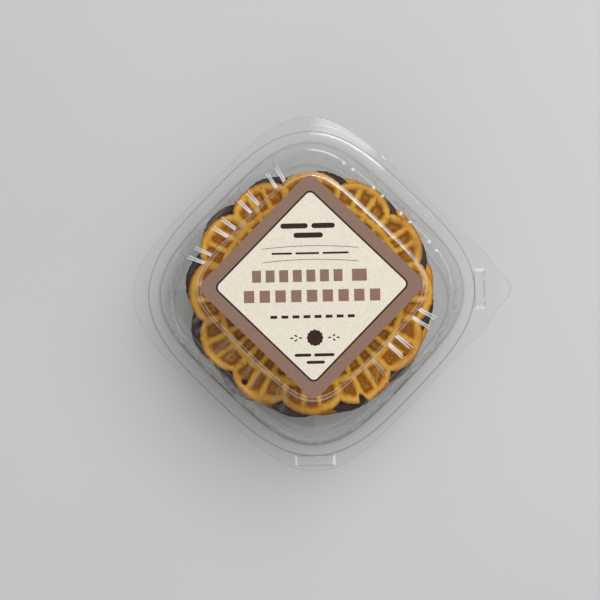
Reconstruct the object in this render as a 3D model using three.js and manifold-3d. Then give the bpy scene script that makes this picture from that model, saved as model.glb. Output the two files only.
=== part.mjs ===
// Pack of pizzelle: a shut, clear, hinged clamshell of thin sheet plastic, a label lying on the lid's
// flat top, and a stack of round scalloped wafers, vanilla and chocolate by turns, in the tray.
// Millimetres, +Z up. The origin is the middle of the footprint, on the surface the pack stands on.
// The fold that hinges the lid runs along the back edge, at +Y. The two lock corners are at the front,
// at +X -Y and -X -Y, and the first of them carries the pull tab.
import * as THREE from "three";
import { mergeVertices } from "three/addons/utils/BufferGeometryUtils.js";
import Module from "manifold-3d";

// Driving dimensions of the clamshell
const SHEET = 0.8; // thickness of the formed sheet
const FLANGE_SIDE = 76.2; // from the middle to the flange's edge, at the middle of a side
const FLANGE_CORNER = 91.0; // from the middle to the flange's edge, at a corner
const RIM_HEIGHT = 42.0; // top of the tray's flange, where the lid's flange lies
const LID_HEIGHT = 34.0; // from the tray's flange to the top of the lid
const BEAD_HEIGHT = 2.2; // the raised ring that keys the lid to the tray
const BEAD_GAP = 0.7; // clearance between the tray's ring and the lid's
const FLUTE_DEPTH = 1.1; // how far the upright flutes step into a wall

// The two front corners, as directions from the middle
const LOCK_CORNERS = [-Math.PI / 4, (-3 * Math.PI) / 4];
const NOSE_CORNER = LOCK_CORNERS[0];
const NOSE_SWELL = 5.6; // how far the flange reaches past its plain corner there
const NOSE_SPREAD = Math.PI / 8;

// Driving dimensions of the wafers
const WAFER_COUNT = 12;
const WAFER_RADIUS = 61.9; // to the tip of a petal
const BROAD_CHOCOLATE = 2.0; // the uppermost chocolate wafer has spread this much wider
const BROAD_TOP = 0.7; // and the wafer on top of the stack this much
const WAFER_PETALS = 12;
const PETAL_DEPTH = 5.6; // from a petal's tip in to the notch beside it
const WAFER_THICKNESS = 3.7; // to the crest of the raised rim
const WAFER_EDGE = 2.7; // height of the edge outside the rim
const WAFER_MIDDLE = 3.1; // height of the middle, inside the rim
const WAFER_RIM = 3.4; // from the edge in to the rim's crest
const WAFER_GAP = 0.25; // room between one wafer and the next
const WAFER_DRIFT = 0.5; // how far a wafer lies off the middle

// Driving dimensions of the label
const LABEL_SIDE = 80.8;
const LABEL_RADIUS = 5.5;
const LABEL_THICKNESS = 0.2;

const LID_TOP = RIM_HEIGHT + LID_HEIGHT;
const DEGREE = Math.PI / 180;
const POINTS_PER_PETAL = 4;

const wasm = await Module();
wasm.setup();

// Materials
const clearPlastic = new THREE.MeshStandardMaterial({
  color: 0xe9eeee,
  roughness: 0.08,
  metalness: 0,
  transparent: true,
  opacity: 0.3,
});
const labelPaper = new THREE.MeshStandardMaterial({ color: 0x8f756b, roughness: 0.55, metalness: 0 });
const vanillaWafer = new THREE.MeshStandardMaterial({ color: 0xc9953a, roughness: 0.75, metalness: 0 });
const chocolateWafer = new THREE.MeshStandardMaterial({ color: 0x352a27, roughness: 0.7, metalness: 0 });

// Distance from the middle to a rounded square's outline in one direction. The outline passes
// through `side` at the middle of each side and `corner` on the diagonals.
function squareRadius(angle, side, corner) {
  const power = 1 / (0.5 - Math.log2(corner / side));
  const across = Math.abs(Math.cos(angle)) ** power + Math.abs(Math.sin(angle)) ** power;
  return side * across ** (-1 / power);
}

// Directions, in degrees from the middle of a side, of the points on one quarter of a wall. Each flute
// has two points at its mouth and two at its floor, and the rest round the corner.
const FLUTE_CENTRES = [-27.8, -9.4, 9.4, 27.8];
const FLUTE_MOUTH = 3.2;
const FLUTE_FLOOR = 1.8;
const CORNER_POINTS = [34.2, 38, 41.6, 45, 48.4, 52, 55.8];

function wallDirections() {
  const quarter = [];
  for (const centre of FLUTE_CENTRES) {
    for (const offset of [-FLUTE_MOUTH, -FLUTE_FLOOR, FLUTE_FLOOR, FLUTE_MOUTH]) {
      quarter.push({ angle: centre + offset, inFlute: Math.abs(offset) === FLUTE_FLOOR });
    }
  }
  for (const angle of CORNER_POINTS) quarter.push({ angle, inFlute: false });
  quarter.sort((a, b) => a.angle - b.angle);
  const all = [];
  for (let turn = 0; turn < 4; turn += 1) {
    for (const { angle, inFlute } of quarter) {
      all.push({ angle: (angle + turn * 90) * DEGREE, inFlute });
    }
  }
  return all;
}

const DIRECTIONS = wallDirections();

// Joins a stack of equal rings of points into one closed body, with a flat fan over the first
// and the last ring.
function bodyOfRings(rings, firstMiddle, lastMiddle) {
  const around = rings[0].length;
  const positions = rings.flat().concat([firstMiddle, lastMiddle]).flatMap((p) => p.toArray());
  const first = rings.length * around;
  const last = first + 1;
  const index = [];
  for (let i = 0; i < around; i += 1) {
    const next = (i + 1) % around;
    index.push(first, next, i);
    for (let ring = 0; ring + 1 < rings.length; ring += 1) {
      const low = ring * around;
      const high = low + around;
      index.push(low + i, low + next, high + next);
      index.push(low + i, high + next, high + i);
    }
    const top = (rings.length - 1) * around;
    index.push(top + i, top + next, last);
  }
  const geometry = new THREE.BufferGeometry();
  geometry.setAttribute("position", new THREE.Float32BufferAttribute(positions, 3));
  geometry.setIndex(index);
  return geometry;
}

// The flange's front corner with the tab is fuller than the other three, by a smooth swelling
function noseSwell(angle) {
  const off = Math.abs(Math.atan2(Math.sin(angle - NOSE_CORNER), Math.cos(angle - NOSE_CORNER)));
  return off < NOSE_SPREAD ? NOSE_SWELL * Math.cos((off / NOSE_SPREAD) * (Math.PI / 2)) ** 2 : 0;
}

// A formed shell from a profile that runs from the middle, out to the flange's edge and back to the
// middle. Each step is [half width at a side, half width at a corner, height, flute depth].
function formedShell(profile) {
  const rings = profile.map(([side, corner, height, flute = 0]) =>
    DIRECTIONS.map(({ angle, inFlute }) => {
      const swell = side === FLANGE_SIDE ? noseSwell(angle) : 0;
      const radius = squareRadius(angle, side, corner) - (inFlute ? flute : 0) + swell;
      return new THREE.Vector3(radius * Math.cos(angle), radius * Math.sin(angle), height);
    }),
  );
  const first = new THREE.Vector3(0, 0, profile[0][2]);
  const last = new THREE.Vector3(0, 0, profile[profile.length - 1][2]);
  return bodyOfRings(rings, first, last);
}

// Booleans, through solids that share their vertices
function toSolid(geometry) {
  const bare = geometry.index ? geometry.toNonIndexed() : geometry.clone();
  bare.deleteAttribute("normal");
  bare.deleteAttribute("uv");
  const merged = mergeVertices(bare, 1e-4);
  return new wasm.Manifold(
    new wasm.Mesh({
      numProp: 3,
      vertProperties: merged.attributes.position.array,
      triVerts: new Uint32Array(merged.index.array),
    }),
  );
}

function toGeometry(solid) {
  const mesh = solid.getMesh();
  const geometry = new THREE.BufferGeometry();
  geometry.setAttribute("position", new THREE.BufferAttribute(mesh.vertProperties, 3));
  geometry.setIndex(new THREE.BufferAttribute(mesh.triVerts, 1));
  return geometry;
}

// A flat plate with its underside at one height, turned about the middle of the pack
function plate(shape, bottom, thickness, turn, curveSegments) {
  const geometry = new THREE.ExtrudeGeometry(shape, {
    depth: thickness,
    bevelEnabled: false,
    curveSegments,
  });
  geometry.rotateZ(turn);
  geometry.translate(0, 0, bottom);
  return geometry;
}

// A rectangle standing across the direction +X, from one distance to another
function rectangleAcross(from, to, width) {
  const shape = new THREE.Shape();
  shape.moveTo(from, -width / 2);
  shape.lineTo(to, -width / 2);
  shape.lineTo(to, width / 2);
  shape.lineTo(from, width / 2);
  shape.closePath();
  return shape;
}

// The pull tab, on the lid only
const TAB_REACH = 102.0;
const TAB_ROOT = 90.0;
const TAB_WIDTH = 13.0;
const TAB_RADIUS = 6.0;

function pullTab() {
  const shape = new THREE.Shape();
  const half = TAB_WIDTH / 2;
  shape.moveTo(TAB_ROOT, -half);
  shape.lineTo(TAB_REACH - TAB_RADIUS, -half);
  shape.quadraticCurveTo(TAB_REACH, -half, TAB_REACH, 0);
  shape.quadraticCurveTo(TAB_REACH, half, TAB_REACH - TAB_RADIUS, half);
  shape.lineTo(TAB_ROOT, half);
  shape.closePath();
  return shape;
}

// Locks: a button on the tray's flange that a hollow button on the lid snaps over
const LOCK_FROM = 82.9;
const LOCK_TO = 88.3;
const LOCK_WIDTH = 19.8;
const LOCK_RISE = 2.2;
const LOCK_GAP = 0.4;

// The tray. Its flange lies level round the rim, with the keying ring between it and the wall.
function trayGeometry() {
  const flangeBottom = RIM_HEIGHT - SHEET;
  const beadTop = RIM_HEIGHT + BEAD_HEIGHT;
  const profile = [
    [61.8, 73.0, 0],
    [64.1, 75.3, 2.6],
    [64.4, 75.7, 7.0, FLUTE_DEPTH],
    [66.1, 77.5, 35.0, FLUTE_DEPTH],
    [66.9, 78.4, flangeBottom],
    [69.4, 79.8, beadTop - SHEET],
    [70.9, 81.2, flangeBottom],
    [FLANGE_SIDE, FLANGE_CORNER, flangeBottom],
    [FLANGE_SIDE, FLANGE_CORNER, RIM_HEIGHT],
    [71.7, 82.0, RIM_HEIGHT],
    [69.5, 80.2, beadTop],
    [66.0, 77.3, RIM_HEIGHT - 1.5],
    [65.3, 76.7, 35.0, FLUTE_DEPTH],
    [63.6, 74.9, 7.0, FLUTE_DEPTH],
    [63.3, 74.5, 2.6],
    [62.7, 73.9, SHEET],
  ];
  let tray = toSolid(formedShell(profile));
  const inset = SHEET + LOCK_GAP;
  for (const corner of LOCK_CORNERS) {
    const boss = rectangleAcross(LOCK_FROM + inset, LOCK_TO - inset, LOCK_WIDTH - 2 * inset);
    const rise = LOCK_RISE - inset + SHEET;
    tray = tray.add(toSolid(plate(boss, flangeBottom, rise, corner, 1)));
  }
  return toGeometry(tray);
}

// The lid. Its flange lies on the tray's, its own ring covers the tray's ring, and its fluted walls
// lean in to a flat top that carries the label.
function lidGeometry() {
  const flangeTop = RIM_HEIGHT + SHEET;
  const beadTop = RIM_HEIGHT + BEAD_HEIGHT + BEAD_GAP;
  const underTop = LID_TOP - SHEET;
  const profile = [
    [45.0, 55.2, underTop],
    [48.4, 59.2, underTop - 1.6, FLUTE_DEPTH],
    [58.6, 69.6, 65.6, FLUTE_DEPTH],
    [60.6, 71.6, 62.0],
    [65.0, 76.2, RIM_HEIGHT + 2.4],
    [69.6, 80.3, beadTop],
    [72.3, 82.8, RIM_HEIGHT],
    [FLANGE_SIDE, FLANGE_CORNER, RIM_HEIGHT],
    [FLANGE_SIDE, FLANGE_CORNER, flangeTop],
    [73.0, 83.5, flangeTop],
    [71.6, 82.2, beadTop + SHEET],
    [67.6, 78.5, beadTop + SHEET],
    [66.0, 77.3, RIM_HEIGHT + 2.8],
    [61.4, 72.5, 62.5],
    [59.4, 70.5, 66.3, FLUTE_DEPTH],
    [49.2, 60.2, LID_TOP - 1.4, FLUTE_DEPTH],
    [45.2, 55.4, LID_TOP],
  ];
  let lid = toSolid(formedShell(profile));
  lid = lid.add(toSolid(plate(pullTab(), RIM_HEIGHT, SHEET, NOSE_CORNER, 5)));
  for (const corner of LOCK_CORNERS) {
    const outside = rectangleAcross(LOCK_FROM, LOCK_TO, LOCK_WIDTH);
    lid = lid.add(toSolid(plate(outside, RIM_HEIGHT, LOCK_RISE + SHEET, corner, 1)));
  }
  for (const corner of LOCK_CORNERS) {
    const inside = rectangleAcross(LOCK_FROM + SHEET, LOCK_TO - SHEET, LOCK_WIDTH - 2 * SHEET);
    lid = lid.subtract(toSolid(plate(inside, RIM_HEIGHT - SHEET, LOCK_RISE + SHEET, corner, 1)));
  }
  return toGeometry(lid);
}

// The label, a square of paper with rounded corners
function labelGeometry() {
  const half = LABEL_SIDE / 2;
  const turn = half - LABEL_RADIUS;
  const shape = new THREE.Shape();
  const corners = [
    [turn, -turn],
    [turn, turn],
    [-turn, turn],
    [-turn, -turn],
  ];
  corners.forEach(([x, y], i) => {
    const start = (i - 1) * 90 * DEGREE;
    shape.absarc(x, y, LABEL_RADIUS, start, start + 90 * DEGREE, false);
  });
  shape.closePath();
  return plate(shape, LID_TOP, LABEL_THICKNESS, 0, 4);
}

// A wafer, round, with a scalloped edge and a raised rim that follows the petals
function waferGeometry(tipRadius) {
  const count = WAFER_PETALS * POINTS_PER_PETAL;
  const ring = (inset, height) => {
    const points = [];
    for (let i = 0; i < count; i += 1) {
      const angle = (i * 2 * Math.PI) / count;
      const lobe = Math.abs(Math.cos((WAFER_PETALS * angle) / 2)) ** 0.7;
      const radius = tipRadius - PETAL_DEPTH * (1 - lobe) - inset;
      points.push(new THREE.Vector3(radius * Math.cos(angle), radius * Math.sin(angle), height));
    }
    return points;
  };
  const rings = [ring(0.3, 0), ring(0, WAFER_EDGE), ring(WAFER_RIM, WAFER_THICKNESS)];
  return bodyOfRings(rings, new THREE.Vector3(0, 0, 0), new THREE.Vector3(0, 0, WAFER_MIDDLE));
}

// How the three uppermost wafers lie, from the third down to the one on top: turned by a number of
// degrees, and shifted off the middle.
const UPPERMOST = [
  { tipRadius: WAFER_RADIUS, turn: 23, x: 1.5, y: -0.3 },
  { tipRadius: WAFER_RADIUS + BROAD_CHOCOLATE, turn: 8, x: -1.2, y: 0.5 },
  { tipRadius: WAFER_RADIUS + BROAD_TOP, turn: 15, x: -0.3, y: -0.1 },
];

// How the wafers lie, from the bottom up. Below the uppermost three, angles and shifts repeat by
// simple sines, so that no two neighbours line up.
function waferPlace(i) {
  const z = SHEET + WAFER_GAP + i * (WAFER_THICKNESS + WAFER_GAP);
  const fromUppermost = i - (WAFER_COUNT - UPPERMOST.length);
  if (fromUppermost >= 0) {
    const { tipRadius, turn, x, y } = UPPERMOST[fromUppermost];
    return { tipRadius, turn: turn * DEGREE, x, y, z };
  }
  return {
    tipRadius: WAFER_RADIUS,
    turn: ((2 * Math.PI) / WAFER_PETALS) * (0.5 + 0.5 * Math.sin(i * 2.1 + 0.6)),
    x: WAFER_DRIFT * Math.sin(i * 1.7 + 1.0),
    y: WAFER_DRIFT * Math.cos(i * 2.3),
    z,
  };
}

const pack = new THREE.Group();

function addPiece(name, geometry, material) {
  const mesh = new THREE.Mesh(geometry, material);
  mesh.name = name;
  pack.add(mesh);
  return mesh;
}

addPiece("clamshell_base", trayGeometry(), clearPlastic);
addPiece("clamshell_lid", lidGeometry(), clearPlastic);
addPiece("label", labelGeometry(), labelPaper);
for (let i = 0; i < WAFER_COUNT; i += 1) {
  const name = "pizzelle_" + String(i + 1).padStart(2, "0");
  const isVanilla = i % 2 === 1;
  const place = waferPlace(i);
  const material = isVanilla ? vanillaWafer : chocolateWafer;
  const wafer = addPiece(name, waferGeometry(place.tipRadius), material);
  wafer.position.set(place.x, place.y, place.z);
  wafer.rotation.z = place.turn;
}

export default pack;
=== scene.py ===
# The look of a shut, clear, hinged clamshell of pizzelle: two thin formed sheets of clear plastic, a
# paper label on the lid, and twelve ridged wafers, vanilla and chocolate by turns. Metres, +Z up.
import math

import bpy
import numpy as np
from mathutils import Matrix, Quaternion, Vector


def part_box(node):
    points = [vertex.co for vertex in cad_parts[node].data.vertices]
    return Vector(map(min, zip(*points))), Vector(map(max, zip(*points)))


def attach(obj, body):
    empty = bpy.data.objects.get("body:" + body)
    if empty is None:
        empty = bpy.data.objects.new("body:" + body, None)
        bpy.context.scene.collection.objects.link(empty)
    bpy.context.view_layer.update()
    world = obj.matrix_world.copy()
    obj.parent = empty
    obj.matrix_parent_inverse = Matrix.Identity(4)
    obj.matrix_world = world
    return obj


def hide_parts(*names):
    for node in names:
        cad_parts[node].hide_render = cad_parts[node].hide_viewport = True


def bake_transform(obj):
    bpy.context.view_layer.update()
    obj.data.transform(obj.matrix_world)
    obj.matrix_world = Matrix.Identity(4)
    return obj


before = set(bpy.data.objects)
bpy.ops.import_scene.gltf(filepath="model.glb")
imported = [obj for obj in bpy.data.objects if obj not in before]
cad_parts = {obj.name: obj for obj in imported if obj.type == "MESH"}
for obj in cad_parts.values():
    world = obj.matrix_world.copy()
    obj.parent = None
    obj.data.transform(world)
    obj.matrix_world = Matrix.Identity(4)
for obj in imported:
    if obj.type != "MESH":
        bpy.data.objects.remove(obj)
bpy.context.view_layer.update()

MM = 0.001
DEGREE = math.pi / 180
DIAGONAL = math.sqrt(0.5)

base_low, base_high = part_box("clamshell_base")
lid_low, lid_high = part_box("clamshell_lid")
label_low, label_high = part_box("label")

# Heights and half widths of the clamshell, in millimetres, as the frame has them
FLANGE_SIDE = base_high.x / MM
RIM = lid_low.z / MM
LID_TOP = lid_high.z / MM
LABEL_TOP = label_high.z / MM
LABEL_SIDE = (label_high.x - label_low.x) / MM
FLANGE_CORNER = 91.0

scene = bpy.context.scene
scene.view_settings.view_transform = "Standard"


# ---------------------------------------------------------------- meshes


def add_mesh(name, points, faces, material, smooth=True):
    """A new object from points in millimetres."""
    mesh = bpy.data.meshes.new(name)
    mesh.from_pydata((np.asarray(points, float) * MM).tolist(), [], faces)
    mesh.materials.append(material)
    mesh.polygons.foreach_set("use_smooth", [smooth] * len(mesh.polygons))
    mesh.update()
    piece = bpy.data.objects.new(name, mesh)
    scene.collection.objects.link(piece)
    return piece


def add_values(piece, name, values):
    """A number at every point of the mesh, for the materials to read."""
    layer = piece.data.attributes.new(name, "FLOAT", "POINT")
    layer.data.foreach_set("value", np.asarray(values, np.float32))


def band_faces(rings, around):
    """Quads between rings of points, each ring closed on itself."""
    ring = np.arange(rings - 1)[:, None] * around
    here = np.arange(around)[None, :]
    after = (here + 1) % around
    quads = np.stack([ring + here, ring + around + here, ring + around + after, ring + after], -1)
    return quads.reshape(-1, 4).tolist()


def fan_faces(middle, first, around, flip=False):
    """Triangles from one middle point to a closed ring."""
    faces = []
    for i in range(around):
        a = first + i
        b = first + (i + 1) % around
        faces.append((middle, b, a) if flip else (middle, a, b))
    return faces


def smooth_step(low, high, values):
    """From 0 at one value to 1 at another, with soft ends."""
    t = np.clip((values - low) / (high - low), 0, 1)
    return t * t * (3 - 2 * t)


def between(values, low, high, soft=0.6):
    """1 between two values and 0 outside them, with soft ends."""
    return smooth_step(low - soft, low + soft, values) * (1 - smooth_step(high - soft, high + soft, values))


def wrapped(angles, period):
    """Angles brought into half a period either side of zero."""
    return (angles + period / 2) % period - period / 2


def turned(x, y, degrees):
    """A place turned about the middle."""
    c, s = math.cos(degrees * DEGREE), math.sin(degrees * DEGREE)
    return x * c - y * s, x * s + y * c


def bump_at(values, middle, spread):
    """1 at one value, falling to 0 on both sides of it."""
    return np.exp(-(((values - middle) / spread) ** 2))


def strongest(*shares):
    """The highest of several shares at every point."""
    total = shares[0]
    for share in shares[1:]:
        total = np.maximum(total, share)
    return total


# ---------------------------------------------------------------- the clamshell

FLUTE_CENTRES = (-28.0, -9.6, 9.6, 28.0)
FLUTE_FLOOR = 2.1
FLUTE_MOUTH = 3.7
FLUTE_FAN = 0.62
LID_FLUTE_DEPTH = 0.65
LID_FLUTE_MIDDLE = 53.0
TRAY_FLUTE_DEPTH = 1.1
TRAY_FLUTE_MIDDLE = 65.0
NOSE = -45.0
LOCK_CORNERS = (-45.0, -135.0)
NOSE_SWELL = 5.6
NOSE_SPREAD = 22.5
TAB_REACH = 5.4
TAB_SPREAD = 5.6
LOCK_FROM = 82.9
LOCK_TO = 88.3
LOCK_WIDTH = 19.8
LOCK_RISE = 2.2
LOCK_SLOPE = 0.45
RIPPLE_DEPTH = 0.06
RIPPLE_PITCH = 1.3

# The pack's faces, counted round from +X
RIGHT, BACK, LEFT, FRONT = range(4)
# The lid's flutes run between these half widths of the wall, and carry painted highlight lines this far from
# their middles
FLUTE_RUN = (47.4, 56.9)
FLUTE_GLINT_LINES = (2.3, 3.65)
# Painted highlight lines along the flange, each its half width and its strength
FLANGE_GLINT_LINES = ((73.4, 0.6), (74.0, 0.5), (74.6, 0.8), (75.2, 0.6), (75.8, 0.85))


def wall_directions():
    """Directions round the pack, in degrees, close together at the flutes, the locks and the tab."""
    fine = [np.arange(0, 360, 0.8)]
    edge = np.arange(1.6, 4.6, 0.21)
    for turn in range(4):
        for centre in FLUTE_CENTRES:
            fine.append(centre + edge + 90 * turn)
            fine.append(centre - edge + 90 * turn)
    for corner in LOCK_CORNERS:
        fine.append(np.arange(corner - 7.6, corner + 7.61, 0.3))
    angles = np.unique(np.round(np.concatenate(fine) % 360, 3))
    kept = [angles[0]]
    for angle in angles[1:]:
        if angle - kept[-1] > 0.13:
            kept.append(angle)
    return np.array(kept)


DIRECTIONS = wall_directions()


def square_radius(angles, side, corner):
    """Distance from the middle to a rounded square that passes through side and corner."""
    power = 1 / (0.5 - np.log2(corner / side))
    across = np.abs(np.cos(angles)) ** power + np.abs(np.sin(angles)) ** power
    return side * across ** (-1 / power)


def fanned(degrees, side, middle):
    """Directions that follow the flutes from one row to the next. The flutes fan out less than
    plain directions do, about the half width in the middle of their length."""
    from_side = wrapped(degrees, 90)
    plain = side * np.tan(from_side * DEGREE)
    line = middle * np.tan(from_side * DEGREE) + (side - middle) * np.tan(FLUTE_FAN * from_side * DEGREE)
    follow = 1 - smooth_step(33, 44, np.abs(from_side))
    along = plain + (line - plain) * follow
    return degrees - from_side + np.arctan(along / side) / DEGREE


def from_flute(degrees, middle):
    """Distance along the wall from the nearest flute's middle line."""
    across = middle * np.tan(wrapped(degrees, 90) * DEGREE)
    lines = [middle * math.tan(centre * DEGREE) for centre in FLUTE_CENTRES]
    return np.min([np.abs(across - line) for line in lines], axis=0)


def rounded_profile(corners):
    """Rounds a profile's corners. Each corner is (side, corner, height, flute share, fillet, steps)."""
    spots = [np.array(c[:4], float) for c in corners]
    line = [spots[0]]
    for i in range(1, len(spots) - 1):
        fillet, steps = corners[i][4:6]
        back = spots[i - 1] - spots[i]
        ahead = spots[i + 1] - spots[i]
        reach_back = min(fillet / np.linalg.norm(back[[0, 2]]), 0.5)
        reach_ahead = min(fillet / np.linalg.norm(ahead[[0, 2]]), 0.5)
        start = spots[i] + back * reach_back
        end = spots[i] + ahead * reach_ahead
        for t in np.linspace(0, 1, steps):
            line.append((1 - t) ** 2 * start + 2 * t * (1 - t) * spots[i] + t * t * end)
    line.append(spots[-1])
    return np.array(line)


def from_lock(x, y, corner):
    """Distance out towards a lock's corner, and to either side of the line through it."""
    away, along = turned(x, y, -corner)
    return away, np.abs(along)


def lock_height(x, y, inset):
    """Height of the lock buttons above the flange."""
    height = np.zeros(x.shape)
    for corner in LOCK_CORNERS:
        away, along = from_lock(x, y, corner)
        inner = smooth_step(LOCK_FROM + inset, LOCK_FROM + inset + LOCK_SLOPE, away)
        outer = 1 - smooth_step(LOCK_TO - inset - LOCK_SLOPE, LOCK_TO - inset, away)
        half = LOCK_WIDTH / 2 - inset
        ends = 1 - smooth_step(half - LOCK_SLOPE, half, along)
        height = np.maximum(height, inner * outer * ends)
    return height * (LOCK_RISE - inset)


def painted_lines(side, height, painted_strokes):
    """Painted lines along the sheet's bends, highlight lines from one list and shade lines from
    another, each from 0 to its strength. A line is (half width at a side, height, spread, strength)."""
    share = np.zeros(side.shape)
    for at_side, at_height, spread, strength in painted_strokes:
        away = ((side - at_side) ** 2 + (height - at_height) ** 2) / spread**2
        share = np.maximum(share, strength * np.exp(-away))
    return share


def crinkle(angles, height, rng):
    """Small uneven dents in a drawn wall, and the uneven pattern of some painted light and shade."""
    waviness = np.zeros(np.broadcast(angles, height).shape)
    for _ in range(14):
        around = rng.integers(40, 120)
        upright = rng.uniform(0.15, 0.6)
        start = rng.uniform(0, 2 * math.pi, 2)
        waviness = waviness + np.sin(around * angles + start[0]) * np.sin(upright * height + start[1])
    return waviness / 14


def flute_marks(side, flute, face, from_side):
    """Painted highlight lines and painted shade along the lid's flutes, which differ from face to face."""
    inner, outer = FLUTE_GLINT_LINES
    run = between(side, *FLUTE_RUN, 0.4)
    edges = np.maximum(bump_at(flute, inner, 0.3), bump_at(flute, outer, 0.26)) * run
    ends = between(flute, inner, outer, 0.2) * bump_at(side, 47.7, 0.4)
    shares = np.where(face == BACK, 0.95, 0.0)
    shares = np.where(face == FRONT, np.interp(from_side, [-16, -7, 3], [0, 0.3, 0.95]), shares)
    painted_strokes = np.maximum(edges, ends) * shares
    bands = between(flute, 1.9, 3.9, 0.4) * run * 0.09 * (face == LEFT)
    # A row of painted glint dots at the foot of the right face's flutes
    glint_dots = bump_at(flute, 3.0, 0.75) * bump_at(side, 58.2, 0.7) * (face == RIGHT)
    gaps = bump_at(flute, 3.0, 0.3) * run * 0.35 * (shares > 0.3)
    dark = np.maximum(edges * 0.25 * (face == LEFT), gaps)
    return strongest(painted_strokes, bands, glint_dots), dark


def rim_marks(side, flute, face, degrees, from_side):
    """Painted highlight lines round the lid's flat top, under its flutes and along the flange near one
    corner.
    """
    brow = np.maximum(bump_at(side, 45.5, 0.6), bump_at(side, 46.6, 0.3) * 0.6)
    along = np.interp(from_side, [-44, -30, 5, 28, 43], [0.1, 0.3, 0.62, 0.6, 0.1])
    flange = bump_at(side, 71.6, 0.6)
    for at_side, share in FLANGE_GLINT_LINES:
        line = bump_at(side, at_side, 0.19) * share
        flange = np.maximum(flange, line * between(degrees, 23, 43, 4))
    flange = flange * between(degrees, 16, 43, 4)
    foot = bump_at(side, 58.3, 0.25) * (flute > 4.3) * (face == RIGHT) * 0.5 * (from_side < 33)
    bend = bump_at(side, 58.7, 0.4) * between(degrees, 33, 45, 2) * 0.85
    return strongest(brow * (face == RIGHT) * along, flange, foot, bend)


def wall_light_and_shade(side, degrees):
    """Painted light and shade in uneven patches on the foot of the lid's wall, clearest on the left and front
    faces.
    """
    angles = degrees * DEGREE
    waviness = crinkle(angles, side * 14, np.random.default_rng(5))
    clear = np.maximum(-np.cos(angles), -np.sin(angles) * 0.95)
    wall = between(side, 61.8, 65.4, 0.8) * np.clip(clear * 1.8 - 0.5, 0.35, 1)
    return smooth_step(-0.1, 0.3, waviness) * wall * 0.25, smooth_step(0.1, 0.34, -waviness) * wall * 0.14


def lock_marks(x, y, corner):
    """Painted highlights on a lock's short ends, and painted shade along its long edges."""
    away, along = from_lock(x, y, corner)
    half = LOCK_WIDTH / 2
    short = bump_at(along, half - 0.25, 0.42) * between(away, LOCK_FROM, LOCK_TO, 0.3)
    long = np.maximum(bump_at(away, LOCK_FROM + 0.2, 0.3), bump_at(away, LOCK_TO - 0.2, 0.3))
    return short * 0.9, long * (along < half) * 0.3


def lid_marks(side, flute, x, y):
    """Where the lid carries painted highlights and painted shade, beside its painted lines."""
    degrees = DIRECTIONS[None, :]
    from_side = wrapped(degrees, 90)
    face = np.round((degrees - from_side) / 90) % 4
    marks = [flute_marks(side, flute, face, from_side), wall_light_and_shade(side, degrees)]
    marks += [lock_marks(x, y, corner) for corner in LOCK_CORNERS]
    # Painted shade on the slanted band of the left face
    slanted = between(side, 46.5, 58.5, 1.2) * (face == LEFT) * 0.12
    pale = strongest(rim_marks(side, flute, face, degrees, from_side), *[mark[0] for mark in marks])
    return pale, strongest(slanted, *[mark[1] for mark in marks])


def tray_marks(side, level, angles):
    """Painted light on the rounded foot of the wall, strongest on the left and front faces, and painted shade
    lines above and below it.
    """
    facing = np.maximum(-np.cos(angles), -np.sin(angles) * 0.9)
    share = np.clip(facing * 1.8 - 0.5, 0.15, 1)
    waviness = crinkle(angles, level + 9, np.random.default_rng(11))
    foot = between(side, 62.3, 64.1, 0.3) * (level < 9)
    pale = foot * share * (0.42 + 0.5 * np.clip(waviness, -0.4, 0.6))
    dark = (bump_at(side, 61.9, 0.25) + bump_at(side, 64.5, 0.25)) * (level < 14) * share * 0.3
    return pale, dark


def formed_sheet(name, profile, flutes, flange_from, lock_inset, is_lid, pale, dark):
    """A thin formed sheet from its profile, which runs from the middle to the flange's edge."""
    rows = rounded_profile(profile)
    side = rows[:, 0][:, None]
    corner = rows[:, 1][:, None]
    level = rows[:, 2][:, None]
    flute_size, flute_middle = flutes
    degrees = fanned(DIRECTIONS[None, :], side, flute_middle)
    angles = degrees * DEGREE
    radius = square_radius(angles, side, corner)
    flute = from_flute(DIRECTIONS[None, :], flute_middle)
    depth = 1 - smooth_step(FLUTE_FLOOR, FLUTE_MOUTH, flute)
    radius = radius - flute_size * rows[:, 3][:, None] * depth
    share = smooth_step(flange_from, FLANGE_SIDE, side)
    off = np.abs(wrapped(DIRECTIONS - NOSE, 360))[None, :]
    swell = np.where(off < NOSE_SPREAD, NOSE_SWELL * np.cos(off / NOSE_SPREAD * math.pi / 2) ** 2, 0)
    radius = radius + share * swell
    if is_lid:
        out = TAB_REACH * np.cos(np.clip(off / TAB_SPREAD, 0, 1) * math.pi / 2) ** 1.2
        radius = radius + out * smooth_step(FLANGE_SIDE - 1.2, FLANGE_SIDE, side)
    else:
        on_wall = between(level, 3, RIM - 5, 1.5) * (side < 67)
        radius = radius + on_wall * crinkle(angles, level, np.random.default_rng(7)) * 0.9
    x = radius * np.cos(angles)
    y = radius * np.sin(angles)
    z = level + lock_height(x, y, lock_inset)
    if is_lid:
        edge = square_radius(angles, FLANGE_SIDE, FLANGE_CORNER)
        window = between(DIRECTIONS[None, :], 20, 42, 3)
        flat = share * (side < FLANGE_SIDE)
        z = z + RIPPLE_DEPTH * flat * window * np.sin((edge - radius) * 2 * math.pi / RIPPLE_PITCH)
    points = np.stack([x, y, z], -1).reshape(-1, 3)
    around = len(DIRECTIONS)
    middle = len(points)
    points = np.vstack([points, [[0, 0, rows[0, 2]]]])
    faces = band_faces(len(rows), around) + fan_faces(middle, 0, around)
    piece = add_mesh(name, points, faces, CLEAR)
    marks = lid_marks(side, flute, x, y) if is_lid else tray_marks(side, level, angles)
    # Painted highlights go out as the pale values and painted shade as the dark ones, for the clear plastic
    # to read
    for key, painted_strokes, more in (("pale", pale, marks[0]), ("dark", dark, marks[1])):
        lines = np.maximum(painted_lines(side, level, painted_strokes), more)
        lines = np.broadcast_to(lines, x.shape).ravel()
        add_values(piece, key, np.append(lines, 0))
    return piece


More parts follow.
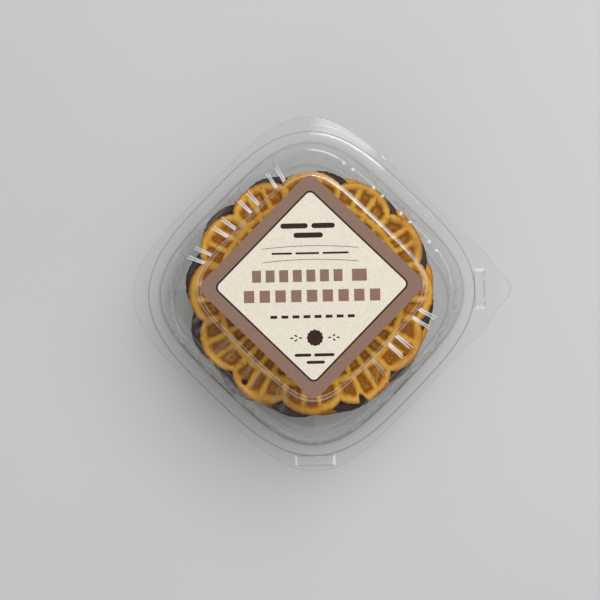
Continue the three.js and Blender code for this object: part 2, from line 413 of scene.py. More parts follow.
def flange_steps(side, corner, height, steps):
    """Corners of the profile across a level flange, close enough together to shape the locks."""
    made = []
    for i in range(1, steps):
        t = i / steps
        across = side + (FLANGE_SIDE - 0.3 - side) * t
        diagonal = corner + (FLANGE_CORNER - 0.3 - corner) * t
        made.append((across, diagonal, height, 0, 0.1, 1))
    made.append((FLANGE_SIDE, FLANGE_CORNER, height, 0, 0.25, 4))
    return made


LID_PROFILE = [
    (30.0, 36.0, LID_TOP - 0.04, 0, 0, 1),
    (45.2, 55.1, LID_TOP - 0.04, 0, 1.6, 11),
    (46.8, 57.1, LID_TOP - 1.2, 0, 0.2, 2),
    (47.5, 58.0, LID_TOP - 1.8, 1, 0.4, 4),
    (57.4, 68.6, 67.0, 1, 0.7, 5),
    (59.3, 70.5, 65.0, 0, 1.2, 5),
    (61.3, 72.3, 62.0, 0, 1.4, 5),
    (62.2, 73.3, 58.8, 0, 0.1, 1),
    (63.1, 74.3, 55.5, 0, 0.1, 1),
    (63.9, 75.1, 52.3, 0, 0.1, 1),
    (64.8, 76.1, 49.0, 0, 0.1, 1),
    (65.7, 77.0, RIM + 2.5, 0, 0.6, 6),
    (67.5, 78.5, RIM + 3.5, 0, 0.6, 4),
    (71.5, 82.1, RIM + 3.5, 0, 0.7, 5),
    (73.0, 83.4, RIM + 0.6, 0, 0.6, 5),
] + flange_steps(73.0, 83.4, RIM + 0.6, 16) + [(FLANGE_SIDE + 0.02, FLANGE_CORNER + 0.02, RIM + 0.2, 0, 0, 1)]

BASE_PROFILE = [
    (40.0, 50.0, 0.5, 0, 0, 1),
    (62.0, 73.2, 0.5, 0, 2.0, 7),
    (64.0, 75.2, 3.4, 0.6, 1.6, 5),
    (64.3, 75.6, 7.0, 1, 1.5, 4),
    (66.0, 77.4, 35.0, 1, 2.0, 5),
    (66.4, 77.9, 39.4, 0, 1.0, 4),
    (66.6, 78.1, RIM - 0.5, 0, 0.6, 4),
    (69.4, 80.0, RIM + 1.8, 0, 0.9, 5),
    (71.2, 81.6, RIM - 0.4, 0, 0.6, 5),
] + flange_steps(71.2, 81.6, RIM - 0.4, 16) + [(FLANGE_SIDE + 0.02, FLANGE_CORNER + 0.02, RIM - 0.7, 0, 0, 1)]


# ---------------------------------------------------------------- materials


def new_material(name):
    """An empty material, its tree and its output."""
    material = bpy.data.materials.new(name)
    material.use_nodes = True
    tree = material.node_tree
    tree.nodes.clear()
    out = tree.nodes.new("ShaderNodeOutputMaterial")
    return material, tree, out


def math_node(tree, operation, first, second=None, clamp=False):
    """One step of arithmetic on one or two values, each a plain number or another node's output."""
    node = tree.nodes.new("ShaderNodeMath")
    node.operation = operation
    node.use_clamp = clamp
    for socket, value in zip(node.inputs, (first, second)):
        if value is None:
            continue
        if isinstance(value, (int, float)):
            socket.default_value = value
        else:
            tree.links.new(value, socket)
    return node.outputs[0]


def new_group(name, given, made):
    """A shader node group with named sockets, each given as its name and its kind."""
    group = bpy.data.node_groups.new(name, "ShaderNodeTree")
    for key, kind in given:
        group.interface.new_socket(key, in_out="INPUT", socket_type="NodeSocket" + kind)
    for key, kind in made:
        group.interface.new_socket(key, in_out="OUTPUT", socket_type="NodeSocket" + kind)
    return group, group.nodes.new("NodeGroupInput").outputs, group.nodes.new("NodeGroupOutput").inputs


def placed_group(tree, group, values):
    """A node group in a material, each input a number, a colour or another node's output."""
    node = tree.nodes.new("ShaderNodeGroup")
    node.node_tree = group
    for key, value in values.items():
        if isinstance(value, tuple):
            node.inputs[key].default_value = (*value, 1)
        elif isinstance(value, (int, float)):
            node.inputs[key].default_value = value
        else:
            tree.links.new(value, node.inputs[key])
    return node.outputs


def noise(tree, scale, detail=3.0, roughness=0.55):
    """Soft noise through the solid, fixed to the piece."""
    where = tree.nodes.new("ShaderNodeTexCoord")
    node = tree.nodes.new("ShaderNodeTexNoise")
    node.inputs["Scale"].default_value = scale
    node.inputs["Detail"].default_value = detail
    node.inputs["Roughness"].default_value = roughness
    tree.links.new(where.outputs["Object"], node.inputs["Vector"])
    return node.outputs["Fac"]


def span(tree, value, low, high, to_low, to_high):
    """A value from one span brought into another."""
    node = tree.nodes.new("ShaderNodeMapRange")
    for key, number in (
        ("From Min", low),
        ("From Max", high),
        ("To Min", to_low),
        ("To Max", to_high),
    ):
        node.inputs[key].default_value = number
    tree.links.new(value, node.inputs["Value"])
    return node.outputs["Result"]


def mixed_colour(tree, share, first, second):
    """A colour between two, each a plain colour or another node's output."""
    node = tree.nodes.new("ShaderNodeMix")
    node.data_type = "RGBA"
    tree.links.new(share, node.inputs["Factor"])
    for key, value in (("A", first), ("B", second)):
        socket = next(s for s in node.inputs if s.name == key and s.type == "RGBA")
        if isinstance(value, tuple):
            socket.default_value = (*value, 1)
        else:
            tree.links.new(value, socket)
    return next(s for s in node.outputs if s.type == "RGBA")


def bumped(tree, height, distance):
    """A normal from a height, of a given depth in metres."""
    node = tree.nodes.new("ShaderNodeBump")
    node.inputs["Distance"].default_value = distance
    node.inputs["Strength"].default_value = 1.0
    tree.links.new(height, node.inputs["Height"])
    return node.outputs["Normal"]


def attribute(tree, name):
    """A number that the mesh carries at its points."""
    node = tree.nodes.new("ShaderNodeAttribute")
    node.attribute_name = name
    return node.outputs["Fac"]


def srgb(red, green, blue):
    """A colour from everyday 0 to 255 values."""
    def linear(value):
        share = value / 255
        return share / 12.92 if share <= 0.04045 else ((share + 0.055) / 1.055) ** 2.4
    return (linear(red), linear(green), linear(blue))


def clear_plastic():
    """Thin clear sheet: seen through when faced, mirror-like when seen along it, with painted highlights and
    painted shade.
    """
    material, tree, out = new_material("clear_plastic")
    weight = tree.nodes.new("ShaderNodeLayerWeight")
    weight.inputs["Blend"].default_value = 0.5
    facing = weight.outputs["Facing"]
    mirror = math_node(tree, "MULTIPLY", math_node(tree, "POWER", facing, 5.0), 0.9)
    mirror = math_node(tree, "ADD", mirror, 0.022, clamp=True)
    through = tree.nodes.new("ShaderNodeBsdfTransparent")
    through.inputs["Color"].default_value = (0.992, 0.994, 0.992, 1)
    # A white veil: faint haze towards grazing and scuffs, full where the sheet's painted highlights are
    veil = tree.nodes.new("ShaderNodeBsdfPrincipled")
    veil.inputs["Base Color"].default_value = (*srgb(250, 250, 248), 1)
    veil.inputs["Roughness"].default_value = 0.35
    scuffs = span(tree, noise(tree, 60.0, 5.0), 0.5, 0.8, 0.0, 0.008)
    haze_and_painted_glints = math_node(tree, "MULTIPLY", math_node(tree, "POWER", facing, 2.0), 0.06)
    haze_and_painted_glints = math_node(tree, "ADD", haze_and_painted_glints, scuffs)
    haze_and_painted_glints = math_node(tree, "ADD", haze_and_painted_glints, attribute(tree, "pale"), clamp=True)
    first = tree.nodes.new("ShaderNodeMixShader")
    tree.links.new(haze_and_painted_glints, first.inputs[0])
    tree.links.new(through.outputs[0], first.inputs[1])
    tree.links.new(veil.outputs[0], first.inputs[2])
    # Painted shade: a dark grey where the sheet is seen edge-on and along its painted shade lines
    dark = tree.nodes.new("ShaderNodeBsdfPrincipled")
    dark.inputs["Base Color"].default_value = (*srgb(42, 44, 42), 1)
    dark.inputs["Roughness"].default_value = 0.3
    edge = tree.nodes.new("ShaderNodeMapRange")
    edge.interpolation_type = "SMOOTHSTEP"
    edge.inputs["From Min"].default_value = 0.88
    edge.inputs["From Max"].default_value = 1.0
    edge.inputs["To Min"].default_value = 0.0
    edge.inputs["To Max"].default_value = 0.2
    tree.links.new(facing, edge.inputs["Value"])
    deep = math_node(tree, "ADD", edge.outputs["Result"], attribute(tree, "dark"), clamp=True)
    second = tree.nodes.new("ShaderNodeMixShader")
    tree.links.new(deep, second.inputs[0])
    tree.links.new(first.outputs[0], second.inputs[1])
    tree.links.new(dark.outputs[0], second.inputs[2])
    shine = tree.nodes.new("ShaderNodeBsdfAnisotropic")
    shine.inputs["Roughness"].default_value = 0.05
    ripple = noise(tree, 90.0, 2.0)
    tree.links.new(bumped(tree, ripple, 0.00004), shine.inputs["Normal"])
    third = tree.nodes.new("ShaderNodeMixShader")
    tree.links.new(mirror, third.inputs[0])
    tree.links.new(second.outputs[0], third.inputs[1])
    tree.links.new(shine.outputs[0], third.inputs[2])
    tree.links.new(third.outputs[0], out.inputs["Surface"])
    return material


def paper_grain():
    """Group: the faint mottle and the fine tooth of printed paper."""
    group, given, made = new_group(
        "paper_grain",
        [("Deeper", "Color"), ("Paler", "Color")],
        [("Colour", "Color"), ("Height", "Float")],
    )
    mottle = span(group, noise(group, 900.0, 3.0), 0.3, 0.7, 0.0, 1.0)
    group.links.new(mixed_colour(group, mottle, given["Deeper"], given["Paler"]), made["Colour"])
    group.links.new(noise(group, 2500.0, 2.0), made["Height"])
    return group


def baked_crumb():
    """Group: the colour of a baked face from its pits to its ridges, with painted shade at their feet, and
    the height of its crumb.
    """
    colours = ("Pit", "Middle", "Crest", "Edge", "Speck")
    group, given, made = new_group(
        "baked_crumb",
        [(key, "Float") for key in ("Relief", "Toast", "Hole_shade")] + [(key, "Color") for key in colours],
        [("Colour", "Color"), ("Height", "Float")],
    )
    patches = span(group, noise(group, 90.0, 4.0), 0.25, 0.75, -0.3, 0.3)
    fine = span(group, noise(group, 1900.0, 3.0), 0.3, 0.7, -0.24, 0.24)
    level = math_node(group, "ADD", given["Relief"], patches)
    level = math_node(group, "ADD", level, fine)
    # Painted shade and light: darkest at the foot of each ridge, palest on the crests
    from_foot = math_node(group, "ABSOLUTE", math_node(group, "SUBTRACT", level, 0.18))
    low = span(group, from_foot, 0.0, 0.4, 0.0, 1.0)
    high = span(group, level, 0.5, 1.0, 0.0, 1.0)
    colour = mixed_colour(group, low, given["Pit"], given["Middle"])
    colour = mixed_colour(group, high, colour, given["Crest"])
    browned = math_node(group, "ADD", given["Toast"], patches, clamp=True)
    colour = mixed_colour(group, browned, colour, given["Edge"])
    specks = span(group, noise(group, 420.0, 2.0, 0.4), 0.66, 0.74, 0.0, 0.55)
    colour = mixed_colour(group, specks, colour, given["Speck"])
    # Painted dark where the holes are, for the dark wafer beneath them and the shade inside
    colour = mixed_colour(group, given["Hole_shade"], colour, srgb(24, 16, 12))
    group.links.new(colour, made["Colour"])
    crumb = math_node(group, "ADD", noise(group, 1100.0, 4.0, 0.65), noise(group, 300.0, 3.0))
    group.links.new(crumb, made["Height"])
    return group


PAPER_GRAIN = paper_grain()
BAKED_CRUMB = baked_crumb()


def coated_paper(name, colour):
    """Smooth printed paper of one colour, a little uneven."""
    material, tree, out = new_material(name)
    shader = tree.nodes.new("ShaderNodeBsdfPrincipled")
    shader.inputs["Roughness"].default_value = 0.42
    shader.inputs["Specular IOR Level"].default_value = 0.12
    paler = tuple(min(1.0, c * 1.06 + 0.004) for c in colour)
    deeper = tuple(c * 0.93 for c in colour)
    grained = placed_group(tree, PAPER_GRAIN, {"Deeper": deeper, "Paler": paler})
    tree.links.new(grained["Colour"], shader.inputs["Base Color"])
    tree.links.new(bumped(tree, grained["Height"], 0.00002), shader.inputs["Normal"])
    tree.links.new(shader.outputs[0], out.inputs["Surface"])
    return material


def baked_wafer(name, pit, middle, crest, edge, speck):
    """Baked wafer, deeper in colour in its pits with painted shade, and toasted at its edge."""
    material, tree, out = new_material(name)
    shader = tree.nodes.new("ShaderNodeBsdfPrincipled")
    shader.inputs["Roughness"].default_value = 0.62
    shader.inputs["Specular IOR Level"].default_value = 0.06
    values = {"Pit": pit, "Middle": middle, "Crest": crest, "Edge": edge, "Speck": speck}
    for key in ("Relief", "Toast", "Hole_shade"):
        values[key] = attribute(tree, key.lower())
    baked = placed_group(tree, BAKED_CRUMB, values)
    tree.links.new(baked["Colour"], shader.inputs["Base Color"])
    tree.links.new(bumped(tree, baked["Height"], 0.0004), shader.inputs["Normal"])
    tree.links.new(shader.outputs[0], out.inputs["Surface"])
    return material


CLEAR = clear_plastic()
VANILLA = baked_wafer(
    "vanilla_wafer",
    pit=srgb(122, 68, 5),
    middle=srgb(186, 124, 20),
    crest=srgb(224, 172, 72),
    edge=srgb(176, 119, 46),
    speck=srgb(104, 54, 8),
)
CHOCOLATE = baked_wafer(
    "chocolate_wafer",
    pit=srgb(40, 29, 27),
    middle=srgb(58, 44, 41),
    crest=srgb(78, 62, 58),
    edge=srgb(48, 36, 33),
    speck=srgb(30, 22, 20),
)


# ---------------------------------------------------------------- wafers

PETAL_DEPTH = 5.6
PETAL = 30.0
RIM_INSET = 2.2
RIM_HALF = 3.7
OUTER_RING = 46.6
INNER_RING = 35.6
ROSETTE_RING = 14.0
PIT_LEVEL = 1.6
CREST_LEVEL = 3.62
EDGE_LEVEL = 2.25
RIDGE_SPREAD = 1.18


def ridge(distance, half_width):
    """A rounded ridge, 1 along its middle and 0 from its half width on."""
    t = np.clip(1 - np.abs(distance) / (half_width * RIDGE_SPREAD), 0, 1)
    return t * t * (3 - 2 * t)


def waves(angles, rng, counts, size):
    """A closed, slightly random curve round the wafer."""
    total = np.zeros(angles.shape)
    for count in counts:
        total += rng.uniform(-1, 1) * np.sin(count * angles + rng.uniform(0, 2 * math.pi))
    return total * size


def grain(radius, angles, rng, slow, fast):
    """Unevenness of the baked face, between -1 and 1 or so, as waves in many directions."""
    x = radius * np.cos(angles)
    y = radius * np.sin(angles)
    total = np.zeros(radius.shape)
    for _ in range(14):
        turn = rng.uniform(0, 2 * math.pi)
        pitch = rng.uniform(slow, fast)
        total += np.sin((x * math.cos(turn) + y * math.sin(turn)) * pitch + rng.uniform(0, 2 * math.pi))
    return total / 5


def outline(angles, rng, tip_radius, nicks):
    """Distance from the middle to the scalloped edge."""
    lobe = np.abs(np.cos(6 * angles)) ** 0.7
    edge = tip_radius - 0.35 - PETAL_DEPTH * (1 - lobe)
    edge = edge + waves(angles, rng, (3, 5, 8), 0.14) + waves(angles, rng, (37, 61, 97, 131, 173), 0.11)
    for angle, depth, half in nicks:
        off = wrapped(angles - angle * DEGREE, 2 * math.pi) * tip_radius / half
        edge = edge - depth * np.exp(-(off**4))
    return edge


def pattern(radius, angles, edge):
    """How high the baked pattern stands, from 0 in a pit to 1 on a ridge."""
    petal = wrapped(angles, PETAL * DEGREE)
    rim = ridge(edge - RIM_INSET - radius, RIM_HALF)
    in_petal = between(radius, OUTER_RING, 60)
    spokes = ridge((np.abs(petal) - 4.1 * DEGREE) * radius, 2.7) * in_petal
    notch = ridge((np.abs(petal) - 15 * DEGREE) * radius, 3.4) * between(radius, OUTER_RING, 57)
    band = wrapped(angles + 5 * DEGREE, 10 * DEGREE)
    bars = ridge(band * radius, 2.7) * between(radius, INNER_RING, OUTER_RING)
    rings = np.maximum(ridge(radius - OUTER_RING, 3.0), ridge(radius - INNER_RING, 2.7))
    rings = np.maximum(rings, ridge(radius - ROSETTE_RING, 2.3))
    swirl = 2.6 * np.log(np.maximum(radius, 1) / ROSETTE_RING)
    lattice = np.zeros(radius.shape)
    for hand in (-1, 1):
        turn = wrapped(angles * 24 / (2 * math.pi) + hand * swirl, 1.0)
        lattice = np.maximum(lattice, ridge(turn * radius * 0.2, 1.6))
    lattice = lattice * between(radius, ROSETTE_RING, INNER_RING)
    leaf = ridge((radius - 12.0 * np.abs(np.cos(3 * angles))), 1.4) * (radius < ROSETTE_RING)
    button = ridge(radius, 3.6)
    top = np.maximum.reduce([rim, spokes, notch, bars, rings, lattice, leaf, button])
    return top


def edge_ring(edge, angles, grown, height):
    """A ring of points along the scalloped edge."""
    radius = edge + grown
    return np.stack([radius * np.cos(angles), radius * np.sin(angles), np.full(len(angles), height)], -1)


def wafer_top(local, edge, rng, seed, tip_radius, turn, rings, holes):
    """Points of the upper face, and what its material reads: relief, toast and the dark spots painted for
    holes.
    """
    share = np.linspace(0, 1, rings + 1)[1:]
    radius = share[:, None] * edge[None, :]
    angles = np.broadcast_to(local[None, :], radius.shape)
    bent = angles + waves(angles, rng, (2, 5, 9), 0.006) * (radius / tip_radius)
    moved = radius + waves(angles, rng, (3, 7, 11), 0.22) * (radius / tip_radius)
    relief = pattern(moved, bent, edge[None, :])
    relief = relief * (1 + 0.16 * grain(radius, angles, rng, 0.25, 0.7))
    relief = np.clip(relief + 0.10 * grain(radius, angles, rng, 1.0, 2.6), 0, 1.05)
    inset = edge[None, :] - radius
    lip = 1 - smooth_step(0.0, RIM_INSET, inset)
    height = PIT_LEVEL + (CREST_LEVEL - PIT_LEVEL) * relief
    lowered = np.minimum(height, EDGE_LEVEL + (CREST_LEVEL - EDGE_LEVEL) * (1 - lip))
    height = height * (1 - lip) + lowered * lip
    sag = 0.12 * np.sin(2 * angles + seed) * (radius / tip_radius) ** 2
    height = np.minimum(height + sag, CREST_LEVEL)
    toast = smooth_step(0.35, 1.0, lip) * (0.7 + 0.5 * grain(radius, angles, rng, 0.2, 0.6))
    scorched = smooth_step(9.0, 1.5, inset) * np.clip(grain(radius, angles, rng, 0.08, 0.3), 0, 1)
    toast = np.clip(toast + 0.6 * scorched, 0, 1)
    hole_shade = np.zeros(radius.shape)
    x = radius * np.cos(angles)
    y = radius * np.sin(angles)
    for hole_x, hole_y, size in holes:
        at_x, at_y = turned(hole_x, hole_y, -turn)
        near = np.exp(-(((x - at_x) ** 2 + (y - at_y) ** 2) / size**2) ** 2)
        height = height - near * 1.5
        relief = relief - near * 2.2
        hole_shade = np.maximum(hole_shade, np.clip(near * 1.6, 0, 1))
    return np.stack([x, y, height], -1).reshape(-1, 3), relief, toast, hole_shade


def wafer_under(local, edge, rings):
    """Points of the lower face, whose ridges point down, and its relief."""
    share = np.linspace(0.992, 0.0, rings + 1)[:-1]
    radius = share[:, None] * edge[None, :]
    angles = np.broadcast_to(local[None, :], radius.shape)
    relief = pattern(radius, angles, edge[None, :])
    height = 0.02 + 0.9 * (1 - relief)
    return np.stack([radius * np.cos(angles), radius * np.sin(angles), height], -1).reshape(-1, 3), relief


def wafer(name, node, tip_radius, turn, material, seed, rings, around, under_rings, nicks=(), holes=()):
    """A round scalloped wafer with its pattern on both faces."""
    low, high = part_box(node)
    middle = ((low + high) / 2) / MM
    rng = np.random.default_rng(seed)
    local = np.arange(around) * 2 * math.pi / around
    edge = outline(local, rng, tip_radius, [(angle - turn, depth, half) for angle, depth, half in nicks])
    top, relief, toast, hole_shade = wafer_top(local, edge, rng, seed, tip_radius, turn, rings, holes)
    brow = edge_ring(edge, local, 0.12, 1.3)
    hem = edge_ring(edge, local, -0.05, 0.45)
    under, under_relief = wafer_under(local, edge, under_rings)
    body = np.vstack([top, brow, hem, under])
    loops = len(body) // around
    points = np.vstack([body, [[0, 0, CREST_LEVEL - 0.1]], [[0, 0, 0.3]]])
    faces = band_faces(loops, around)
    faces += fan_faces(loops * around, 0, around)
    faces += fan_faces(loops * around + 1, (loops - 1) * around, around, flip=True)
    x, y = turned(points[:, 0], points[:, 1], turn)
    placed = np.stack([x + middle.x, y + middle.y, points[:, 2] + low.z / MM], -1)
    piece = add_mesh(name, placed, faces, material)
    ones = np.ones(around)
    none_under = np.zeros(under_relief.size)
    relief = np.concatenate([relief.ravel(), ones * 0.4, ones * 0.3, under_relief.ravel(), [1, 0]])
    toast = np.concatenate([toast.ravel(), ones * 0.8, ones * 0.6, none_under, [0, 0]])
    add_values(piece, "relief", relief)
    add_values(piece, "toast", toast)
    add_values(piece, "hole_shade", np.append(hole_shade.ravel(), np.zeros(len(points) - hole_shade.size)))
    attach(piece, "tray")
    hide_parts(node)


WAFER_COUNT = 12
# Nicks in the top wafer's edge: direction, depth and half width. Holes, painted dark for the wafer and the
# shade beneath: place and size
NICKS = [(-110.7, 4.4, 1.6)]
HOLES = [(-56.2, -7.1, 1.35), (9.4, -55.9, 0.75)]

TIP_RADIUS = 61.9
# The three uppermost wafers, from the lowest of them up: distance to a petal's tip, turn in degrees
UPPERMOST = [(TIP_RADIUS, 21.8), (TIP_RADIUS + 2.0, 6.8), (TIP_RADIUS + 0.7, 13.8)]

for i in range(WAFER_COUNT):
    number = str(i + 1).zfill(2)
    is_top = i == WAFER_COUNT - 1
    tip_radius, turn = TIP_RADIUS, PETAL * (0.5 + 0.5 * math.sin(i * 2.1 + 0.6))
    if i >= WAFER_COUNT - len(UPPERMOST):
        tip_radius, turn = UPPERMOST[i - WAFER_COUNT]
    rings, around = (112, 720) if is_top else (60, 480) if i == WAFER_COUNT - 2 else (34, 300)
    wafer(
        "wafer_" + number,
        "pizzelle_" + number,
        tip_radius,
        turn,
        VANILLA if i % 2 else CHOCOLATE,
        seed=40 + i,
        rings=rings,
        around=around,
        under_rings=40 if i == 0 else 14,
        nicks=NICKS if is_top else (),
        holes=HOLES if is_top else (),
    )


# ---------------------------------------------------------------- label

MAUVE = coated_paper("label_mauve", srgb(134, 107, 93))
DARK = coated_paper("label_dark", srgb(52, 30, 27))
CREAM = coated_paper("label_cream", srgb(222, 213, 196))

PAPER_THICKNESS = 0.19
PRINT_STEP = 0.02
FIELD_SIDE = 67.2
PRINT_TOP = LABEL_TOP + 3 * PRINT_STEP


def on_label(across, up):
    """From the way the label reads, corner up, to the pack's own axes."""
    return (across + up) * DIAGONAL, (up - across) * DIAGONAL


def rounded_square(side, radius, steps=10):
    """A square about the middle, its corners rounded."""
    points = []
    half = side / 2 - radius
    for quarter in range(4):
        corner_x = half * (1 if quarter in (0, 3) else -1)
        corner_y = half * (1 if quarter in (0, 1) else -1)
        for i in range(steps + 1):
            angle = (quarter + i / steps) * math.pi / 2
            points.append((corner_x + radius * math.cos(angle), corner_y + radius * math.sin(angle)))
    return points


def bar(left, right, up, height):
    """A bar with rounded ends, as the label reads."""
    points = []
    radius = height / 2
    for middle, start in ((right - radius, -90), (left + radius, 90)):
        for i in range(7):
            angle = (start + i * 30) * DEGREE
            points.append((middle + radius * math.cos(angle), up + radius * math.sin(angle)))
    return [on_label(*p) for p in points]


def bowed_rule(left, right, up, bow, thickness):
    """A thin line that bows up in its middle."""
    steps = 24
    low, high = [], []
    for i in range(steps + 1):
        t = i / steps
        across = left + (right - left) * t
        lift = up + bow * (1 - (2 * t - 1) ** 2)
        low.append(on_label(across, lift - thickness / 2))
        high.append(on_label(across, lift + thickness / 2))
    return low, high


def scalloped_disc(across, up, radius, lobes):
    """A round shape with a wavy edge."""
    points = []
    for i in range(lobes * 8):
        angle = i * 2 * math.pi / (lobes * 8)
        r = radius * (0.9 + 0.1 * abs(math.cos(lobes * angle / 2)))
        points.append(on_label(across + r * math.cos(angle), up + r * math.sin(angle)))
    return points


def leaf_shape(across, up, length, width, turn):
    """A slim oval, turned about its own middle."""
    points = []
    for i in range(12):
        angle = i * math.pi / 6
        x, y = turned(length / 2 * math.cos(angle), width / 2 * math.sin(angle), turn)
        points.append(on_label(across + x, up + y))
    return points


def flat_piece(name, outlines, height, material, strips=()):
    """Flat shapes at one height, each a fan round its middle, and strips between two lines."""
    points, faces = [], []
    for shape in outlines:
        first = len(points)
        points += [(x, y, height) for x, y in shape]
        points.append((*np.mean(shape, axis=0), height))
        faces += fan_faces(len(points) - 1, first, len(shape))
    for low, high in strips:
        first = len(points)
        points += [(x, y, height) for x, y in low + high]
        count = len(low)
        for i in range(first, first + count - 1):
            faces.append((i, i + 1, i + count + 1, i + count))
    piece = add_mesh(name, points, faces, material, smooth=False)
    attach(piece, "lid")
    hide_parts("label")
    return piece


def label_sheet():
    """The paper itself, with its thickness."""
    shape = rounded_square(LABEL_SIDE, 5.5)
    count = len(shape)
    points = []
    for height in (LABEL_TOP, LABEL_TOP - 0.02, LABEL_TOP - PAPER_THICKNESS):
        inset = 0.0 if height < LABEL_TOP else 0.03
        scale = 1 - inset / (LABEL_SIDE / 2)
        points += [(x * scale, y * scale, height) for x, y in shape]
    points += [(0, 0, LABEL_TOP), (0, 0, LABEL_TOP - PAPER_THICKNESS)]
    faces = band_faces(3, count)
    faces += fan_faces(3 * count, 0, count)
    faces += fan_faces(3 * count + 1, 2 * count, count, flip=True)
    piece = add_mesh("label_sheet", points, faces, MAUVE, smooth=False)
    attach(piece, "lid")
    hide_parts("label")


label_sheet()
flat_piece("label_back", [rounded_square(LABEL_SIDE - 0.1, 5.4)], LABEL_TOP - PAPER_THICKNESS - 0.005, CREAM)
flat_piece("label_field_line", [rounded_square(FIELD_SIDE + 1.8, 3.4)], LABEL_TOP + PRINT_STEP, DARK)
flat_piece("label_field", [rounded_square(FIELD_SIDE, 2.6)], LABEL_TOP + 2 * PRINT_STEP, CREAM)


def row_of_blocks(left, right, up, height, count, filled):
    """A row of equal blocks, each filling its share of the row."""
    pitch = (right - left) / count
    half = pitch * filled / 2
    blocks = []
    for i in range(count):
        middle = left + pitch * (i + 0.5)
        blocks.append(
            [
                on_label(middle + x * half, up + y * height / 2)
                for x, y in ((1, -1), (1, 1), (-1, 1), (-1, -1))
            ]
        )
    return blocks


dark_shapes = [
    bar(-15.0, -1.4, 29.9, 2.6),
    bar(0.4, 12.0, 29.9, 2.6),
    bar(-8.6, 6.0, 25.2, 2.6),
    bar(-9.2, -1.0, -34.3, 1.5),
    bar(0.4, 10.4, -34.3, 1.5),
    bar(-3.4, 5.6, -37.9, 1.5),
    bar(-19.6, -9.4, 16.2, 1.0),
    bar(-7.8, 4.0, 16.2, 1.0),
    bar(5.6, 18.6, 16.2, 1.0),
    scalloped_disc(1.0, -25.8, 4.1, 12),
]
for side in (-1, 1):
    for along, up, turn in ((7.2, 0.0, 0), (9.4, 1.1, 35), (9.4, -1.1, -35), (11.4, 0.0, 0)):
        dark_shapes.append(leaf_shape(1.0 + side * along, -25.8 + up, 1.7, 0.8, turn * side))
dark_shapes += row_of_blocks(-21.8, 21.8, -15.3, 1.5, 8, 0.62)
mauve_shapes = row_of_blocks(-30.6, 16.4, 5.0, 6.0, 7, 0.66)
mauve_shapes += row_of_blocks(18.4, 28.8, 5.0, 6.0, 1, 0.7)
mauve_shapes += row_of_blocks(-35.0, 35.0, -5.0, 6.0, 9, 0.66)
mauve_strips = [bowed_rule(-24.4, 23.2, 18.6, 1.3, 0.35), bowed_rule(-24.4, 23.2, 11.8, 1.3, 0.35)]
flat_piece("label_print_dark", dark_shapes, PRINT_TOP, DARK)
flat_piece("label_print_mauve", mauve_shapes, PRINT_TOP, MAUVE, mauve_strips)


# ---------------------------------------------------------------- shells and hinge

# Painted lines on the clear sheets, each (half width at a side, height, spread, strength): highlight lines,
# and shade lines where the sheet turns edge-on
TRAY_GLINT_LINES = [(62.4, 0.5, 0.5, 0.2)]
TRAY_SHADE_LINES = [(64.0, 3.4, 0.4, 0.3), (66.6, RIM - 0.5, 0.2, 0.3), (76.2, RIM - 0.6, 0.12, 0.3)]
LID_GLINT_LINES = [(45.3, LID_TOP - 0.1, 0.3, 0.24), (46.7, LID_TOP - 1.1, 0.3, 0.24), (59.3, 65.0, 0.4, 0.12)]
LID_SHADE_LINES = [(65.8, RIM + 2.4, 0.27, 1.0), (72.8, RIM + 0.9, 0.22, 1.0), (76.2, RIM + 0.5, 0.12, 0.4)]

tray_sheet = formed_sheet(
    "tray_sheet", BASE_PROFILE, (TRAY_FLUTE_DEPTH, TRAY_FLUTE_MIDDLE), 72.0, 1.2, False, TRAY_GLINT_LINES, TRAY_SHADE_LINES
)
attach(tray_sheet, "tray")
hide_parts("clamshell_base")

lid_sheet = formed_sheet(
    "lid_sheet", LID_PROFILE, (LID_FLUTE_DEPTH, LID_FLUTE_MIDDLE), 73.5, 0.0, True, LID_GLINT_LINES, LID_SHADE_LINES
)
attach(lid_sheet, "lid")
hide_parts("clamshell_lid")


def hinge_fold():
    """The folded strip that joins the two flanges along the back."""
    points = []
    columns, rows = 41, 9
    for i in range(columns):
        angle = (90 + 20 * (i / (columns - 1) * 2 - 1)) * DEGREE
        radius = float(square_radius(np.array([angle]), FLANGE_SIDE, FLANGE_CORNER)[0])
        for j in range(rows):
            bend = (j / (rows - 1) - 0.5) * math.pi
            out = radius - 0.05 + 0.35 * math.cos(bend)
            points.append((out * math.cos(angle), out * math.sin(angle), RIM - 0.03 + 0.5 * math.sin(bend)))
    faces = []
    for i in range(columns - 1):
        for j in range(rows - 1):
            a = i * rows + j
            faces.append((a, a + rows, a + rows + 1, a + 1))
    piece = add_mesh("hinge_fold", points, faces, CLEAR)
    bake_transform(piece)


hinge_fold()


# ---------------------------------------------------------------- floor, light and camera


def add_floor():
    """A plain pale floor, just under the tray."""
    material, tree, out = new_material("floor")
    shader = tree.nodes.new("ShaderNodeBsdfPrincipled")
    shader.inputs["Roughness"].default_value = 0.6
    shade = span(tree, noise(tree, 3.0, 2.0), 0.3, 0.7, 0.0, 1.0)
    colour = mixed_colour(tree, shade, srgb(192, 192, 192), srgb(197, 197, 197))
    tree.links.new(colour, shader.inputs["Base Color"])
    tree.links.new(shader.outputs[0], out.inputs["Surface"])
    half, level = 3000, -0.05
    points = [(-half, -half, level), (half, -half, level), (half, half, level), (-half, half, level)]
    add_mesh("floor", points, [(0, 1, 2, 3)], material, smooth=False)


add_floor()


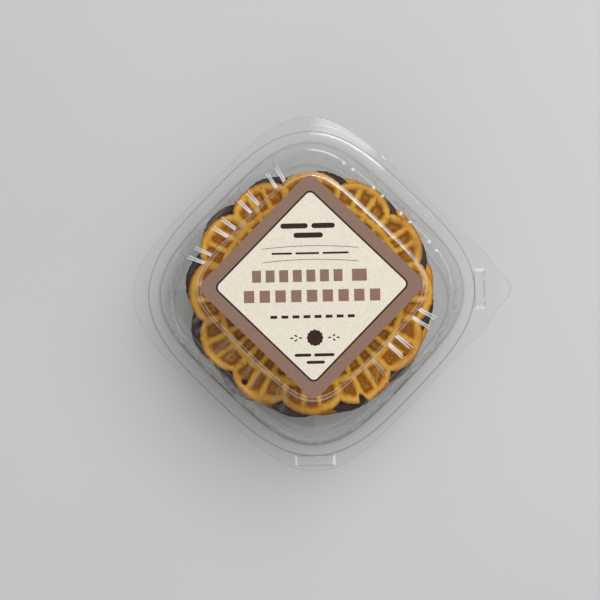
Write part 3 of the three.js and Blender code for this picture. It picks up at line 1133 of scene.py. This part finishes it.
def softbox(name, azimuth, elevation, distance, width, height, power, target=(0, 0, 0.05)):
    """A soft rectangular light. Azimuth is measured from +X towards +Y."""
    data = bpy.data.lights.new(name, "AREA")
    data.shape = "RECTANGLE"
    data.size = width
    data.size_y = height
    data.energy = power
    lamp = bpy.data.objects.new(name, data)
    a, e = azimuth * DEGREE, elevation * DEGREE
    aim = Vector(target)
    towards = Vector((math.cos(a) * math.cos(e), math.sin(a) * math.cos(e), math.sin(e)))
    lamp.location = aim + distance * towards
    lamp.rotation_euler = (aim - lamp.location).to_track_quat("-Z", "Y").to_euler()
    scene.collection.objects.link(lamp)
    return lamp


key = softbox("key", 4, 64, 1.4, 1.3, 1.3, 15.8)
key.visible_glossy = False
glint = softbox("glint", 20, 50, 1.3, 0.66, 0.2, 9)
glint.visible_diffuse = False
softbox("fill", 215, 50, 1.6, 1.4, 1.4, 5.5)

world = bpy.data.worlds.new("plain_world")
scene.world = world
world.use_nodes = True
background = world.node_tree.nodes["Background"]
background.inputs["Color"].default_value = (*srgb(236, 238, 240), 1)
background.inputs["Strength"].default_value = 0.45


CAMERA_AZIMUTH = 315
CAMERA_ELEVATION = 84.5
CAMERA_ROLL = 1.2
CAMERA_DISTANCE = 0.997
# How far the pack's middle lies right of and above the view's middle, in metres
OFF_RIGHT = 0.00593
OFF_UP = 0.00378


def add_camera():
    """Looks down on the pack, a corner up, a little from the front-left corner."""
    data = bpy.data.cameras.new("camera")
    data.sensor_width = 36
    data.lens = 117
    camera = bpy.data.objects.new("camera", data)
    azimuth, elevation = CAMERA_AZIMUTH * DEGREE, CAMERA_ELEVATION * DEGREE
    back = Vector(
        (
            math.sin(azimuth) * math.cos(elevation),
            -math.cos(azimuth) * math.cos(elevation),
            math.sin(elevation),
        )
    )
    turn = (-back).to_track_quat("-Z", "Y") @ Quaternion((0, 0, 1), -CAMERA_ROLL * DEGREE)
    right = turn @ Vector((1, 0, 0))
    up = turn @ Vector((0, 1, 0))
    aim = Vector((0, 0, RIM * MM)) - right * OFF_RIGHT - up * OFF_UP
    camera.location = aim + back * CAMERA_DISTANCE
    camera.rotation_mode = "QUATERNION"
    camera.rotation_quaternion = turn
    scene.collection.objects.link(camera)
    scene.camera = camera


add_camera()
